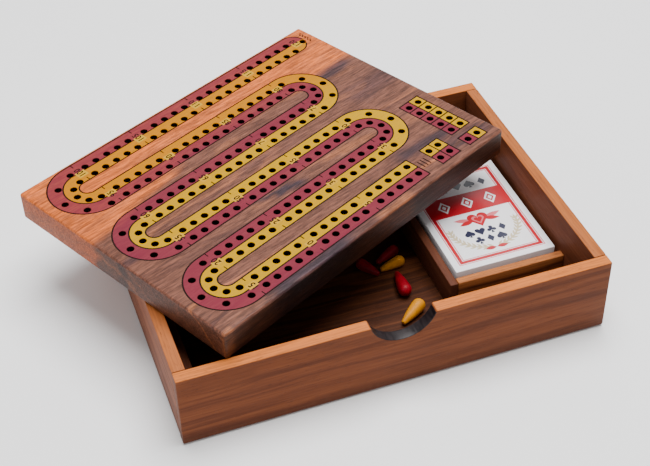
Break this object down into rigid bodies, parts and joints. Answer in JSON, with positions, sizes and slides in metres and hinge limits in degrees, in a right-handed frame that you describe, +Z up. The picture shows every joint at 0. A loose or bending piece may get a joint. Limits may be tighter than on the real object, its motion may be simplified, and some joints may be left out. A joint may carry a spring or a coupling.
{
  "type": "cribbage board with storage box",
  "caption": "Thick wooden two-track peg scoring board resting askew on an open wooden box that holds a card pack and loose drop-shaped pegs.",
  "frame": {"origin": "on the table, under the middle of the box's underside", "axes": "+Z up, +X along the front wall to the right, +Y from the front wall to the back wall"},
  "size_m": [0.3044, 0.2678, 0.069],
  "materials": {
    "box_wood": "oiled, satin, orange-brown with darker streaks",
    "base_wood": "oiled, satin, dark brown",
    "rail_wood": "oiled, satin, mid brown",
    "board_wood": "oiled, satin, figured, with red and yellow stained tracks and burnt outlines",
    "carton_card": "coated white card printed in red",
    "card_paper": "stack of smooth white cards",
    "red_peg_lacquer": "turned wood under glossy red lacquer",
    "yellow_peg_lacquer": "turned wood under glossy yellow lacquer"
  },
  "bodies": {
    "box": {"front_wall": "box_wood", "back_wall": "box_wood", "left_wall": "box_wood", "right_wall": "box_wood", "base_panel": "base_wood", "board_rest_rail": "rail_wood", "card_divider": "rail_wood", "card_rail_front": "rail_wood", "card_rail_back": "rail_wood"},
    "board": {"playing_board": "board_wood"},
    "card_pack": {"card_carton": "carton_card", "card_deck": "card_paper"},
    "red_peg_1": {"peg_red_1": "red_peg_lacquer"},
    "red_peg_2": {"peg_red_2": "red_peg_lacquer"},
    "red_peg_3": {"peg_red_3": "red_peg_lacquer"},
    "yellow_peg_1": {"peg_yellow_1": "yellow_peg_lacquer"},
    "yellow_peg_2": {"peg_yellow_2": "yellow_peg_lacquer"},
    "yellow_peg_3": {"peg_yellow_3": "yellow_peg_lacquer"}
  },
  "joints": [
    {"name": "board_lift", "type": "slide", "parent": "box", "child": "board", "axis": [0, 0, 1], "range_m": [0, 0.12]},
    {"name": "card_pack_lift", "type": "slide", "parent": "box", "child": "card_pack", "axis": [0, 0, 1], "range_m": [0, 0.02]},
    {"name": "red_peg_1_lift", "type": "slide", "parent": "box", "child": "red_peg_1", "axis": [0, 0, 1], "range_m": [0, 0.034]},
    {"name": "red_peg_2_lift", "type": "slide", "parent": "box", "child": "red_peg_2", "axis": [0, 0, 1], "range_m": [0, 0.034]},
    {"name": "red_peg_3_lift", "type": "slide", "parent": "box", "child": "red_peg_3", "axis": [0, 0, 1], "range_m": [0, 0.034]},
    {"name": "yellow_peg_1_lift", "type": "slide", "parent": "box", "child": "yellow_peg_1", "axis": [0, 0, 1], "range_m": [0, 0.034]},
    {"name": "yellow_peg_2_lift", "type": "slide", "parent": "box", "child": "yellow_peg_2", "axis": [0, 0, 1], "range_m": [0, 0.08]},
    {"name": "yellow_peg_3_lift", "type": "slide", "parent": "box", "child": "yellow_peg_3", "axis": [0, 0, 1], "range_m": [0, 0.034]}
  ]
}
